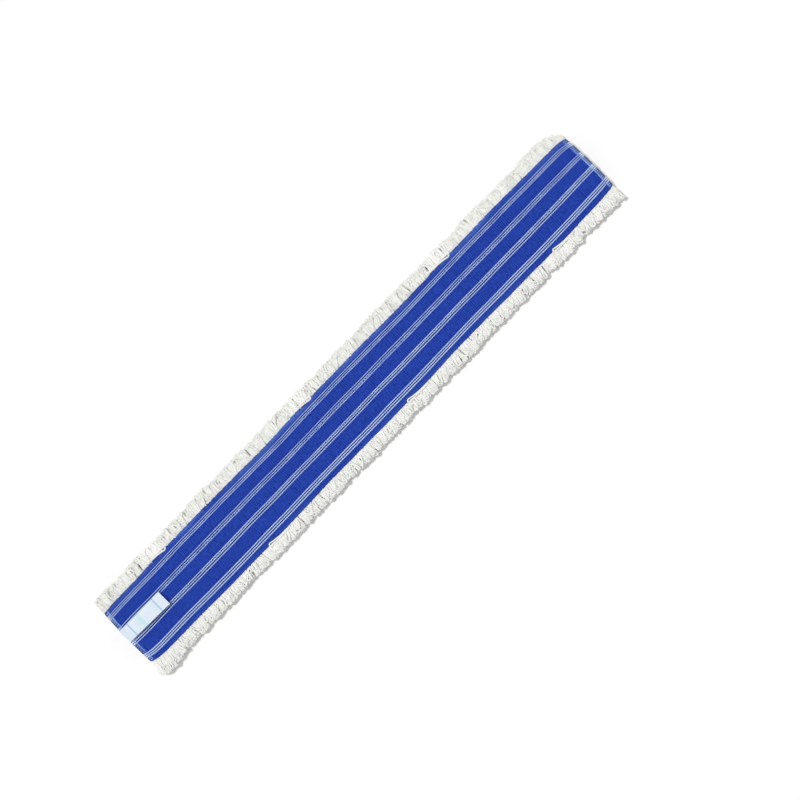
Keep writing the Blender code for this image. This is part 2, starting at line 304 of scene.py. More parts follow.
def cloth_z(x, y):
    """The height of the upper face at a point marked on the flat cloth."""
    rear = np.clip((y - line_y["rear_outer", 1]) / (half_width - line_y["rear_outer", 1]), 0, 1)
    front = np.clip((line_y["front_outer", 3] - y) / (half_width + line_y["front_outer", 3]), 0, 1)
    height = cloth_top - REAR_DROP * rear ** REAR_DROP_POWER - FRONT_DROP * front ** FRONT_DROP_POWER
    height = height + swell(x + y)
    for band in BANDS:
        off = y - band_y[band]
        height = height - BAND_PULL * np.exp(-(off / BAND_PULL_REACH) ** 2)
        height = height + puckers[band](x + PUCKER_SLANT * off) * np.exp(-(off / PUCKER_REACH) ** 2)
    for place in line_y.values():
        height = height - LINE_GROOVE * np.exp(-((y - place) / LINE_GROOVE_REACH) ** 2)
    press = np.clip((np.abs(x) - half_length + END_PRESS_LENGTH) / END_PRESS_LENGTH, 0, 1)
    return height - END_PRESS * press


def grid_quads(rows, columns, first=0):
    """Corner numbers of the quads between the points of a grid."""
    corner = first + np.arange(rows * columns).reshape(rows, columns)
    quads = np.stack([corner[:-1, :-1], corner[1:, :-1], corner[1:, 1:], corner[:-1, 1:]], axis=-1)
    return quads.reshape(-1, 4)


def sheet_shell(points, thickness):
    """The closed skin of a thin sheet whose middle is this grid: its vertices, then its quads."""
    rows, columns = points.shape[:2]
    normal = np.cross(np.gradient(points, axis=0), np.gradient(points, axis=1))
    normal /= np.linalg.norm(normal, axis=2, keepdims=True)
    outer = points + normal * thickness / 2
    inner = (points - normal * thickness / 2)[::-1]
    corner = np.arange(2 * rows * columns).reshape(2, rows, columns)
    above, below = corner[0], corner[1][::-1]
    rim = np.concatenate([above[:, 0], above[-1, 1:], above[-2::-1, -1], above[0, -2:0:-1]])
    under = np.concatenate([below[:, 0], below[-1, 1:], below[-2::-1, -1], below[0, -2:0:-1]])
    edge = np.stack([rim, under, np.roll(under, -1), np.roll(rim, -1)], axis=1)
    quads = [grid_quads(rows, columns), grid_quads(rows, columns, rows * columns), edge]
    return np.concatenate([outer.reshape(-1, 3), inner.reshape(-1, 3)]), np.concatenate(quads)


def lay_flat(mesh, segments, sides, per_row):
    """The map for the surface's colours: strips of quads in rows, rims and caps in one last row."""
    rows = math.ceil(segments / per_row) + 1
    strip, side = np.divmod(np.arange(segments * sides), sides)
    left = (strip % per_row) / per_row
    low = (strip // per_row + MAP_MARGIN + MAP_FILL * side / sides) / rows
    wide, tall = 1 / per_row, MAP_FILL / sides / rows
    corners = [(left, low), (left + wide, low), (left + wide, low + tall), (left, low + tall)]
    places = [np.stack([np.stack(corner, axis=1) for corner in corners], axis=1).reshape(-1, 2)]
    rest = list(mesh.polygons)[segments * sides:]
    for cell, face in enumerate(rest):
        turn = 2 * math.pi * np.arange(face.loop_total) / face.loop_total
        across = (cell + 0.5 + MAP_CAP * np.cos(turn)) / len(rest)
        places.append(np.stack([across, (rows - 0.5 + MAP_CAP * np.sin(turn)) / rows], axis=1))
    layer = mesh.uv_layers.new(name="OFBake")
    layer.data.foreach_set("uv", np.concatenate(places).astype(np.float32).ravel())


def mark(mesh, name, values):
    """Keeps one number for each vertex, for the material to read."""
    kept = mesh.attributes.new(name, "FLOAT", "POINT")
    kept.data.foreach_set("value", values.astype(np.float32).ravel())


def colour(red, green, blue):
    """A colour as a picture gives it, 0 to 255, made linear."""
    values = [part / 255 for part in (red, green, blue)]
    return (*(v / 12.92 if v <= 0.04045 else ((v + 0.055) / 1.055) ** 2.4 for v in values), 1)


def new_group(name, inputs, outputs):
    """A shader node group with named number inputs and outputs, and its two end nodes."""
    group = bpy.data.node_groups.new(name, "ShaderNodeTree")
    for way, sockets in (("INPUT", inputs), ("OUTPUT", outputs)):
        for socket in sockets:
            group.interface.new_socket(socket, in_out=way, socket_type="NodeSocketFloat")
    return group, group.nodes.new("NodeGroupInput").outputs, group.nodes.new("NodeGroupOutput").inputs


def fibre_noise():
    """Loose fibres: a fine fuzz and a slower mottling, both about 0.5 in the middle."""
    group, given, result = new_group("loose_fibres", ("Fuzz Scale", "Mottle Scale"), ("Fuzz", "Mottle"))
    place = group.nodes.new("ShaderNodeTexCoord").outputs["Object"]
    for scale, output, detail in (("Fuzz Scale", "Fuzz", 4.0), ("Mottle Scale", "Mottle", 2.0)):
        inputs = {"Vector": place, "Scale": given[scale], "Detail": detail}
        noise = node(group, "TexNoise", inputs)
        group.links.new(noise.outputs["Fac"], result[output])
    return group


def use_group(tree, group, inputs):
    """Places a node group in a material, with its values."""
    return node(tree, "Group", inputs, node_tree=group).outputs


def blend_colours(tree, share, first, second):
    """The mix of two colours, each from a socket or as a picture gives it."""
    first, second = (colour(*part) if isinstance(part, tuple) else part for part in (first, second))
    inputs = {"Factor": share, 6: first, 7: second}
    return node(tree, "Mix", inputs, data_type="RGBA").outputs[2]


def spread(tree, value, low, high, to_low, to_high):
    """A value read between low and high as a number between to_low and to_high, held at the ends."""
    inputs = {"Value": value, "From Min": low, "From Max": high, "To Min": to_low, "To Max": to_high}
    return node(tree, "MapRange", inputs).outputs[0]


def marked(tree, name):
    """The number that each vertex keeps under this name."""
    return node(tree, "Attribute", {}, attribute_name=name).outputs["Fac"]


def stretched_noise(tree, place, scale, detail):
    """A noise about 0.5 in the middle, with its own scale along, across and down."""
    scaled = node(tree, "Mapping", {"Vector": place, "Scale": scale}).outputs[0]
    inputs = {"Vector": scaled, "Scale": 1.0, "Detail": detail}
    return node(tree, "TexNoise", inputs).outputs["Fac"]


def dress(tree, shader, base, strength, distance, height):
    """Gives a finish its colour, and the fine relief of this height."""
    tree.links.new(base, shader.inputs["Base Color"])
    inputs = {"Strength": strength, "Distance": distance, "Height": height}
    bump = node(tree, "Bump", inputs)
    tree.links.new(bump.outputs[0], shader.inputs["Normal"])


def fabric(name, roughness, sheen=0.1, sheen_roughness=0.4, specular=0.3):
    """An empty fabric finish: its material, node tree and shader."""
    made = bpy.data.materials.new(name)
    made.use_nodes = True
    shader = made.node_tree.nodes["Principled BSDF"]
    shader.inputs["Roughness"].default_value = roughness
    shader.inputs["Sheen Weight"].default_value = sheen
    shader.inputs["Sheen Roughness"].default_value = sheen_roughness
    shader.inputs["Specular IOR Level"].default_value = specular
    return made, made.node_tree, shader


def settle(piece, material, node_name):
    """Gives a piece of the mop head its material, hangs it on the mop head's body and hides the CAD node
    it stands for.
    """
    piece.data.materials.append(material)
    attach(piece, "mop_head")
    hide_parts(node_name)


loose_fibres = fibre_noise()
count_along = round(2 * half_length / ALONG_STEP) + 1
along = np.linspace(-half_length, half_length, count_along)
edge_y = half_width - HEM_RADIUS - CLOTH_THICKNESS / 2
seams = [
    np.arange(band_y[band] - line_pitch - SEAM_REACH, band_y[band] + line_pitch + SEAM_REACH, SEAM_STEP)
    for band in BANDS
]
spans = [-edge_y, *(end for seam in seams for end in (seam[0], seam[-1])), edge_y]
plains = [np.linspace(low, high, max(3, round((high - low) / ACROSS_STEP) + 1))
          for low, high in zip(spans[0::2], spans[1::2])]
top_y = np.unique(np.concatenate(seams + plains).round(6))
hem_y = np.linspace(half_width - HEM_DEPTH, edge_y, HEM_ROWS + 1)[:-1]
turns = np.linspace(-math.pi / 2, math.pi / 2, HEM_STEPS + 1)[:-1]
fold_y = np.full(HEM_STEPS, edge_y)
mark_y = np.concatenate([-hem_y, -fold_y, top_y, fold_y, hem_y[::-1]])
fold_out = np.concatenate([0 * hem_y, -np.cos(turns), 0 * top_y, np.cos(turns), 0 * hem_y]) * HEM_RADIUS
under, over = 0 * hem_y - 1, 0 * top_y + 1
fold_up = np.concatenate([under, np.sin(turns), over, -np.sin(turns), under]) * HEM_RADIUS
grid_x, grid_y = np.meshgrid(along, mark_y, indexing="ij")
middle = np.stack([
    cloth_x(grid_x, grid_y),
    cloth_y(grid_x, grid_y) + fold_out,
    cloth_z(grid_x, grid_y) - CLOTH_THICKNESS / 2 - HEM_RADIUS + fold_up,
], axis=-1)
points, quads = sheet_shell(middle, CLOTH_THICKNESS)
cloth = new_piece("backing_cloth_knit", points, quads.tolist())
lay_flat(cloth.data, 2 * (len(along) - 1), len(mark_y) - 1, (len(along) - 1) // 2)


def on_band(band, reach):
    """1 on a band of stitches, and 0 further than reach stitch pitches from its middle, for the cloth."""
    return np.exp(-((grid_y - band_y[band]) / (reach * line_pitch)) ** 6)


# Painted shade: dark navy where shade falls between the lines of each band, and a fainter painted shade
# just beside it.
seam_shade_mask = sum(SEAM_SHADE[band.split("_")[0]] * on_band(band, SEAM_SHADE_REACH) for band in BANDS)
for band in BANDS:
    seam_shade_mask = np.maximum(seam_shade_mask, SEAM_HALO_SHADE * on_band(band, SEAM_HALO_SHADE_REACH))
# A lighter rub under each overlocked end, and a painted highlight along both margins, strongest at the
# rear.
rub_and_highlight = END_RUB * np.clip((np.abs(grid_x) - half_length + END_RUB_DEPTH) / END_RUB_BLUR, 0, 1)
margins = (("rear", 1, line_y["rear_outer", 1]), ("front", -1, line_y["front_outer", 3]))
for margin, side, place in margins:
    past_seam = side * (grid_y - place) - MARGIN_START
    share = np.clip(past_seam / (half_width - side * place), 0, 1)
    near_seam, near_edge = MARGIN_HIGHLIGHT[margin]
    on_margin = np.clip(past_seam / MARGIN_BLUR, 0, 1)
    rub_and_highlight = np.maximum(rub_and_highlight, on_margin * (near_seam + (near_edge - near_seam) * share))
# The first mark kept here is painted shade along the bands. The second is the end rub together with the
# painted margin highlight.
for name, values in (("seam", seam_shade_mask), ("rub_and_highlight", rub_and_highlight)):
    mark(cloth.data, name, np.concatenate([values.ravel(), values[::-1].ravel()]))

knit, tree, shader = fabric(
    "blue_knit", roughness=0.85, sheen=0.05, sheen_roughness=0.45, specular=0.08)
fibres = use_group(tree, loose_fibres, {"Fuzz Scale": 1900.0, "Mottle Scale": 14.0})
place = tree.nodes.new("ShaderNodeTexCoord").outputs["Object"]
patches = stretched_noise(tree, place, PATCH_SCALE, 2.0)
courses = stretched_noise(tree, place, COURSE_SCALE, 1.0)
along_cloth = node(tree, "SeparateXYZ", {0: place}).outputs["X"]
rib_phase = math_node(tree, "MULTIPLY", along_cloth, 1 / RIB_PITCH)
rib_phase = math_node(tree, "MULTIPLY_ADD", fibres["Mottle"], RIB_STRAY, rib_phase)
rib_phase = math_node(tree, "MULTIPLY_ADD", patches, RIB_PATCH_STRAY, rib_phase)
ribs = math_node(tree, "SINE", math_node(tree, "MULTIPLY", rib_phase, 2 * math.pi))
rib_depth = spread(tree, patches, 0.35, 0.65, *RIB_SHADE)
rib_shade = math_node(tree, "MULTIPLY_ADD", ribs, rib_depth, TONE_MIDDLE)
tone = math_node(tree, "ADD", rib_shade, spread(tree, courses, 0.3, 0.7, -COURSE_SHADE, COURSE_SHADE))
base = blend_colours(tree, tone, CLOTH_BLUE, CLOTH_NAVY)
# Painted shade along the stitch bands.
base = blend_colours(tree, marked(tree, "seam"), base, SEAM_SHADE_NAVY)
# The rub mark mixes the cloth towards a lighter blue: a rub at the ends, and a painted highlight on the
# margins.
tint_strength = spread(tree, fibres["Mottle"], 0.35, 0.65, *RUB_HIGHLIGHT_SPAN)
tint_strength = math_node(tree, "MULTIPLY_ADD", tone, RUB_HIGHLIGHT_BY_TONE, tint_strength)
rub_highlight = math_node(tree, "MULTIPLY", marked(tree, "rub_and_highlight"), tint_strength)
base = blend_colours(tree, rub_highlight, base, CLOTH_RUB_HIGHLIGHT)
height = math_node(tree, "ADD", fibres["Fuzz"], courses)
height = math_node(tree, "MULTIPLY_ADD", ribs, -0.35, height)
dress(tree, shader, base, strength=0.5, distance=0.25 * MM, height=height)
settle(cloth, knit, "backing_cloth")

# The looped yarn is cream twisted cotton-blend, laid in loops under the cloth and caught by each
# band of stitches. The outer bands' loops stand out past the long edges as a fringe, and the
# others hang to the floor in ridges between the bands.
PILE_YARN_RADIUS = 1.25 * MM
YARN_TWIST = {"plies": 2, "turns": 110.0, "depth": 0.07}
AXIS_STEPS = 32
AXIS_BEND_POWER = 1.6
FRINGE_ROOT = 9.0 * MM
FRINGE_STEPS = 8
FRINGE_SIDES = 6
FRINGE_PER_ROW = 160
FRINGE_STRAIGHT = 0.94
FRINGE_PLACE = 0.3
FRINGE_SCATTER = {"lean": 0.3, "curl": 9.0, "apart": 0.2, "roll": 0.45, "twist": 1.0}
FRINGE_WAVER = 0.9 * MM
FRINGE_WAVER_TURN = (0.6, 1.6)
MAT = {"radius": 1.8 * MM, "pitch": 5.9 * MM, "apart": 1.5 * MM, "tousle": 0.15}
MAT_LAYERS = (
    {"height": 7.4 * MM, "reach": 15.5 * MM, "dip": 30, "fall": -48},
    {"height": 4.2 * MM, "reach": 14.6 * MM, "dip": 8, "fall": -22},
)
TOUSLED = {"radius": 1.2 * MM, "pitch": 5.2 * MM, "apart": 1.8 * MM, "tousle": 0.9}
TOUSLED_LAYERS = (
    {"height": 8.3 * MM, "reach": 13.9 * MM, "dip": 30, "fall": -40},
    {"height": 8.5 * MM, "reach": 10.5 * MM, "dip": 30, "fall": -36},
    {"height": 5.8 * MM, "reach": 14.3 * MM, "dip": 22, "fall": -48},
)
LUMP_LENGTH = 9.0 * MM
LUMP_REACH = 1.8 * MM
LUMP_MIDDLE = 0.6
LUMP_DRIFT = 3.0 * MM
LUMP_SLOW = 0.8 * MM
FRINGE_LEAN = 0.06
FALL_SHARE = {-1: 0.7, 1: 1.0}
ROOT_RAISE = {-1: 0.0, 1: 0.7 * MM}
OPEN_SHARE = 0.12
OPEN_BY = 0.8
CALM_LENGTH = 30.0 * MM
CALM_LEAST = 0.4
UNDER_EDGE = {-1: 1.0 * MM, 1: 0.15 * MM}
EDGE_CLIMB = {-1: 0.9, 1: 2.5}
STRAY_LOOPS = {
    "rear": (-289.5 * MM, -38.5 * MM, 200.0 * MM),
    "front": (-200 * MM, 39.5 * MM, 290.5 * MM),
}
STRAY_LENGTH = 34.0 * MM
STRAY_RADIUS = 0.95 * MM
STRAY_APART = 2.0 * MM
STRAY_OUT = 1.4 * MM
STRAY_IN = 0.2 * MM
STRAY_CURVE = 2.5
STRAY_OVER = 0.6
STRAY_RAISE = 0.3 * MM
STRAY_SINK = 1.2 * MM
STRAY_NECK = 0.25
STRAY_FLARE = 3
STRAY_TONE = -3
CORNER_LOOPS = np.linspace(6, 30, 6) * MM
CORNER_BULGE = 4.2 * MM
CORNER_BULGE_FROM = 40 * MM
CORNER_BULGE_OVER = 22 * MM
CORNER_CUT = 6.0 * MM
CORNER_CUT_LENGTH = 12 * MM
CORNER_LEAN = 0.3
END_CLEAR = 4 * MM
END_ROOM = {-1: (2.6 * MM, -1.6 * MM), 1: (-3.0 * MM, -2.0 * MM)}
END_RAGGED = 1.6 * MM
CORNER_ROUND = 15.0 * MM
CORNER_ROUND_LENGTH = 24 * MM
PILE_PITCH = 6.2 * MM
PILE_STEPS = 7
PILE_SIDES = 6
PILE_PER_ROW = 140
PILE_ROOT = 1.3 * MM
PILE_APART = 1.75 * MM
PILE_END_CLEAR = 3 * MM
PILE_SCATTER = {
    "place": 0.9 * MM, "height": 0.4 * MM, "length": 1.2 * MM, "dip": 5, "fall": 14,
    "lean": 0.28, "curl": 12.0, "apart": 0.25 * MM, "roll": 1.2, "twist": 1.5,
}
OFF_FLOOR = 1.1
PILE_LAYERS = (
    {"height": 11.6 * MM, "length": 17.5 * MM, "dip": -4, "fall": -105},
    {"height": 10.4 * MM, "length": 12.5 * MM, "dip": -30, "fall": -100},
)
# Painted shade: the rear fringe, which faces the lamp, is given a darker tone and darker loop tips.
SIDE_PAINTED_SHADE = {-1: 0.0, 1: 0.4}
# Painted light beside the stray loops.
PAINTED_LIGHT_BY = 1.5
PAINTED_LIGHT_PLACE = 14.0 * MM
PAINTED_LIGHT_REACH = 15.0 * MM
TIP_SHADE = {-1: 0.4, 1: 3.0}
YARN_CREAM = (252, 252, 248)
YARN_SHADE = (214, 214, 207)


def bent_axes(root, way, length, dip, fall, lean, curl):
    """The middle lines of loops: out from the root, bending down from dip to fall degrees."""
    share = np.linspace(0, 1, AXIS_STEPS + 1)
    slope = np.radians(dip[:, None] + (fall - dip)[:, None] * share[:-1] ** AXIS_BEND_POWER)
    step = length[:, None] / AXIS_STEPS
    none = np.zeros((len(length), 1))
    out = np.concatenate([none, np.cumsum(np.cos(slope) * step, axis=1)], axis=1)
    rise = np.concatenate([none, np.cumsum(np.sin(slope) * step, axis=1)], axis=1)
    side = lean[:, None] * out + curl[:, None] * out ** 2
    return np.stack([side, way * out, rise], axis=-1) + root[:, None, :]


def loop_paths(axes, apart, roll, twist, steps, neck=0.72, flare=2):
    """Yarn loops as paths: out on one side of each middle line, round the tip and back on the other.
    Each leg and the tip have steps points. apart, roll and twist have one value for a loop. neck is
    how near its legs come together at the root, and flare is how late they part."""
    length = np.linalg.norm(np.diff(axes, axis=1), axis=2).sum(axis=1)
    leg = np.linspace(0, 1, steps + 1)[:-1]
    bend = np.linspace(0, math.pi, steps)
    tip = (apart / length)[:, None]
    outward = leg * (1 - tip)
    share = np.concatenate([outward, 1 - tip + tip * np.sin(bend), outward[:, ::-1]], axis=1)
    leg_width = neck + (1 - neck) * leg ** flare
    width = apart[:, None] * np.concatenate([leg_width, np.cos(bend), -leg_width[::-1]])
    tangent = np.gradient(axes, axis=1)
    tangent /= np.linalg.norm(tangent, axis=2, keepdims=True)
    level = np.cross(tangent, [0, 0, 1.0])
    level /= np.linalg.norm(level, axis=2, keepdims=True)
    upward = np.cross(level, tangent)
    place = share * (axes.shape[1] - 1)
    before = np.minimum(place.astype(int), axes.shape[1] - 2)[..., None]
    part = place[..., None] - before
    middle, lateral, lifted = (
        np.take_along_axis(line, before, axis=1) * (1 - part)
        + np.take_along_axis(line, before + 1, axis=1) * part
        for line in (axes, level, upward))
    angle = (roll[:, None] + twist[:, None] * share)[..., None]
    return middle + width[..., None] * (np.cos(angle) * lateral + np.sin(angle) * lifted)


def sweep(name, paths, radius, sides, per_row, plies=1, turns=0.0, depth=0.0):
    """Round yarn or thread along each path, capped at both ends, its plies as lobes of the section."""
    count, rings = paths.shape[:2]
    tangent = np.gradient(paths, axis=1)
    tangent /= np.linalg.norm(tangent, axis=2, keepdims=True)
    start = np.where(np.abs(tangent[:, 0, 2:]) < 0.8, [[0, 0, 1.0]], [[1.0, 0, 0]])
    normals = np.empty_like(paths)
    for ring in range(rings):
        start = start - tangent[:, ring] * np.sum(start * tangent[:, ring], axis=1, keepdims=True)
        start = start / np.linalg.norm(start, axis=1, keepdims=True)
        normals[:, ring] = start
    binormals = np.cross(normals, tangent)
    steps = np.linalg.norm(np.diff(paths, axis=1), axis=2)
    run = np.concatenate([np.zeros((count, 1)), np.cumsum(steps, axis=1)], axis=1)
    angle = 2 * math.pi * np.arange(sides) / sides
    lobes = 1 + depth * np.cos(plies * (angle - 2 * math.pi * turns * run[..., None]))
    cosine, sine = np.cos(angle)[:, None], np.sin(angle)[:, None]
    spokes = cosine * normals[:, :, None] + sine * binormals[:, :, None]
    points = (paths[:, :, None] + (radius * lobes)[..., None] * spokes).reshape(-1, 3)
    corner = np.arange(count * rings * sides).reshape(count, rings, sides)
    around = np.roll(corner, -1, axis=2)
    quads = np.stack([corner[:, :-1], corner[:, 1:], around[:, 1:], around[:, :-1]], axis=-1)
    caps = corner[:, 0].tolist() + corner[:, -1, ::-1].tolist()
    made = new_piece(name, points, quads.reshape(-1, 4).tolist() + caps)
    side = np.arange(sides) / sides
    first, second = run[:, :-1, None] + 0 * side, run[:, 1:, None] + 0 * side
    low, high = side + 0 * first, side + 1 / sides + 0 * first
    ends = [(first, low), (second, low), (second, high), (first, high)]
    places = np.stack([np.stack(end, axis=-1) for end in ends], axis=-2).reshape(-1, 2)
    places = np.concatenate([places, np.zeros((2 * count * sides, 2))])
    made.data.uv_layers.new(name="yarn_run").data.foreach_set("uv", places.astype(np.float32).ravel())
    lay_flat(made.data, count * (rings - 1), sides, per_row)
    return made


def twisted_plies():
    """Plies laid round a yarn: how high each point stands, and how deep in the groove it lies, for painted
    shade in the grooves.
    """
    group, given, result = new_group("twisted_plies", ("Plies", "Turns"), ("Height", "Groove Shade"))
    run = node(group, "UVMap", {}, uv_map="yarn_run").outputs[0]
    split = node(group, "SeparateXYZ", {0: run}).outputs
    turned = math_node(group, "MULTIPLY", split["X"], given["Turns"])
    off_ply = math_node(group, "SUBTRACT", split["Y"], turned)
    phase = math_node(group, "MULTIPLY", off_ply, given["Plies"])
    wave = math_node(group, "COSINE", math_node(group, "MULTIPLY", phase, 2 * math.pi))
    height = math_node(group, "MULTIPLY_ADD", wave, 0.5, 0.5)
    group.links.new(height, result["Height"])
    depth = math_node(group, "SUBTRACT", 1.0, height)
    group.links.new(math_node(group, "POWER", depth, 2.0), result["Groove Shade"])
    return group


def loop_marks(piece, tones, steps, sides, tip_shade=1.0):
    """Keeps a tone for each loop, and a painted shade that darkens each loop towards its tip."""
    leg = np.linspace(0, 1, steps + 1)[:-1]
    near_tip = tip_shade * np.concatenate([leg, np.ones(steps), leg[::-1]]) ** 6
    mark(piece.data, "tone", np.repeat(tones, 3 * steps * sides))
    mark(piece.data, "tip", np.tile(np.repeat(near_tip, sides), len(tones)))


ply_twist = twisted_plies()
yarn, tree, shader = fabric(
    "cream_yarn", roughness=0.9, sheen=0.25, sheen_roughness=0.6, specular=0.15)
fibres = use_group(tree, loose_fibres, {"Fuzz Scale": 2600.0, "Mottle Scale": 300.0})
plies = use_group(tree, ply_twist, {"Plies": YARN_TWIST["plies"], "Turns": YARN_TWIST["turns"]})
# Painted shade in the grooves between the plies.
shade = math_node(tree, "MULTIPLY", plies["Groove Shade"], 0.08)
# Painted shade: the tip mark darkens loops towards their tips, and the tone mark carries painted shade on
# the rear fringe.
for name, amount in (("tone", 0.18), ("tip", 0.1)):
    shade = math_node(tree, "MULTIPLY_ADD", marked(tree, name), amount, shade)
shade = math_node(tree, "ADD", shade, spread(tree, fibres["Mottle"], 0.4, 0.7, -0.1, 0.24))
base = blend_colours(tree, shade, YARN_CREAM, YARN_SHADE)
for name, value in (("Weight", 0.3), ("Radius", (1, 1, 1)), ("Scale", 1.5 * MM)):
    shader.inputs[f"Subsurface {name}"].default_value = value
height = math_node(tree, "MULTIPLY_ADD", fibres["Fuzz"], 0.45, plies["Height"])
dress(tree, shader, base, strength=0.4, distance=0.4 * MM, height=height)


def fringe_loops(rng, way, form, lump, lean, radius, pitch, apart, tousle):
    """One layer of a fringe, as paths. tousle is how far its loops stray from lying side by side."""
    x = (np.arange(round(2 * half_length / pitch)) + rng.uniform(0.2, 0.8)) * pitch - half_length
    if way < 0:
        x = np.sort(np.concatenate([x, CORNER_LOOPS - half_length]))
    count = len(x)

    def stray(name):
        return tousled * rng.normal(0, FRINGE_SCATTER[name], count)

    x = x + rng.normal(0, FRINGE_PLACE * tousle * pitch, count)
    x = np.clip(x, END_CLEAR - half_length, half_length - END_CLEAR)
    from_left, from_right = x + half_length, half_length - x
    reach = form["reach"] + lump(x) + rng.normal(0, (0.3 + 0.6 * tousle) * MM, count)
    tousled = tousle * np.clip(np.minimum(from_left, from_right) / CALM_LENGTH, CALM_LEAST, 1)
    lean = lean(x) + stray("lean")
    curl = stray("curl")
    opened = OPEN_BY * tousled * (rng.uniform(0, 1, count) < OPEN_SHARE)
    if way < 0:
        lean = lean - CORNER_LEAN * np.clip(1 - from_left / CALM_LENGTH, 0, 1)
        reach = reach + CORNER_BULGE * np.clip((CORNER_BULGE_FROM - from_left) / CORNER_BULGE_OVER, 0, 1)
        reach = reach - CORNER_CUT * np.clip(1 - from_left / CORNER_CUT_LENGTH, 0, 1) ** 2
    else:
        reach = reach - CORNER_ROUND * np.clip(1 - from_right / CORNER_ROUND_LENGTH, 0, 1) ** 2
    length = FRINGE_ROOT + reach
    room_left, room_right = (room - END_RAGGED * rng.uniform(0, 1, count) for room in END_ROOM[way])
    most_left = -(from_left + room_left) / length
    most_right = (from_right + room_right) / length
    sideways = np.clip(lean + curl * length, most_left, most_right)
    height = form["height"] + ROOT_RAISE[way] + rng.normal(0, (0.15 + 0.3 * tousle) * MM, count)
    root = np.stack([x, way * (half_width - FRINGE_ROOT) + 0 * x, height], axis=1)
    axes = bent_axes(
        root, way, length / FRINGE_STRAIGHT,
        dip=form["dip"] + rng.normal(0, 2, count),
        fall=form["fall"] * FALL_SHARE[way] + rng.normal(0, 3 + 8 * tousle, count),
        lean=sideways - curl * length,
        curl=curl,
    )
    paths = loop_paths(
        axes,
        apart=apart * (1 + opened + stray("apart")),
        roll=stray("roll"),
        twist=stray("twist"),
        steps=FRINGE_STEPS,
    )
    waver = rng.uniform(0, 2 * math.pi, (count, 1))
    waver = waver + np.arange(3 * FRINGE_STEPS) * rng.uniform(*FRINGE_WAVER_TURN, (count, 1))
    paths[:, :, 0] += FRINGE_WAVER * tousle * np.sin(waver)
    past_edge = way * (paths[:, :, 1] - cloth_y(paths[:, :, 0], way * half_width))
    ceiling = cloth_z(paths[:, :, 0], way * half_width) - radius - UNDER_EDGE[way]
    ceiling = ceiling + EDGE_CLIMB[way] * np.clip(past_edge, 0, None)
    paths[:, :, 2] = np.clip(paths[:, :, 2], OFF_FLOOR * MAT["radius"], ceiling)
    return paths


def stray_loops(side, way):
    """The few loops that lie along a fringe's edge, with their tips on top of the cloth, as paths."""
    along = np.linspace(0, 1, AXIS_STEPS + 1)
    over_edge = np.sin(math.pi / 2 * np.clip(along / STRAY_OVER, 0, 1))
    past_edge = STRAY_OUT - (STRAY_OUT + STRAY_IN) * along ** STRAY_CURVE
    axes = []
    for x in STRAY_LOOPS[side]:
        lies_at = cloth_z(x, way * (half_width - STRAY_IN)) + STRAY_RADIUS
        axes.append(np.stack([
            x - way * STRAY_LENGTH * (1 - along),
            cloth_y(x, way * half_width) + way * past_edge,
            lies_at + STRAY_RAISE - STRAY_SINK * (1 - over_edge),
        ], axis=1))
    apart = np.full(len(axes), STRAY_APART)
    return loop_paths(
        np.stack(axes), apart, 0 * apart, 0 * apart, FRINGE_STEPS, neck=STRAY_NECK, flare=STRAY_FLARE)


def fringe(side, way):
    """The loops that stand out past one long edge: an even mat below, and tousled loops on it."""
    rng = np.random.default_rng(21 if way > 0 else 22)
    drift = wander(rng, (67, 41, 113), LUMP_DRIFT)
    slow = wander(rng, (83, 149, 57), LUMP_SLOW)
    lean = wander(rng, (61, 83, 127), FRINGE_LEAN)

    def lump(x):
        wave = np.abs(np.sin(math.pi * (x + drift(x)) / LUMP_LENGTH))
        return slow(x) + LUMP_REACH * (wave - LUMP_MIDDLE)

    mat = [fringe_loops(rng, way, form, lump, lean, **MAT) for form in MAT_LAYERS]
    tousled = [fringe_loops(rng, way, form, lump, lean, **TOUSLED) for form in TOUSLED_LAYERS]
    strays = stray_loops(side, way)
    radii = [np.full(len(paths), TOUSLED["radius"]) for paths in tousled]
    radii.append(np.full(len(strays), STRAY_RADIUS))
    pieces = (
        (f"fringe_{side}_mat", np.concatenate(mat), MAT["radius"]),
        (f"fringe_{side}", np.concatenate([*tousled, strays]), np.concatenate(radii)[:, None, None]),
    )
    for name, paths, radius in pieces:
        piece = sweep(name, paths, radius, FRINGE_SIDES, FRINGE_PER_ROW, **YARN_TWIST)
        # The tone holds random tone, painted shade on the rear fringe and painted light beside each stray
        # loop.
        tones = rng.uniform(0, 1, len(paths)) + SIDE_PAINTED_SHADE[way]
        # Painted light: loops beside each stray loop are paler, in place of the lesser shade of a smoother
        # stretch.
        for x in STRAY_LOOPS[side]:
            off = paths[:, 0, 0] - x + way * PAINTED_LIGHT_PLACE
            tones = tones - PAINTED_LIGHT_BY * np.exp(-(off / PAINTED_LIGHT_REACH) ** 4)
        if np.ndim(radius):
            tones[-len(strays):] = STRAY_TONE
        loop_marks(piece, tones, FRINGE_STEPS, FRINGE_SIDES, TIP_SHADE[way])
        settle(piece, yarn, f"loops_{side}_outer")


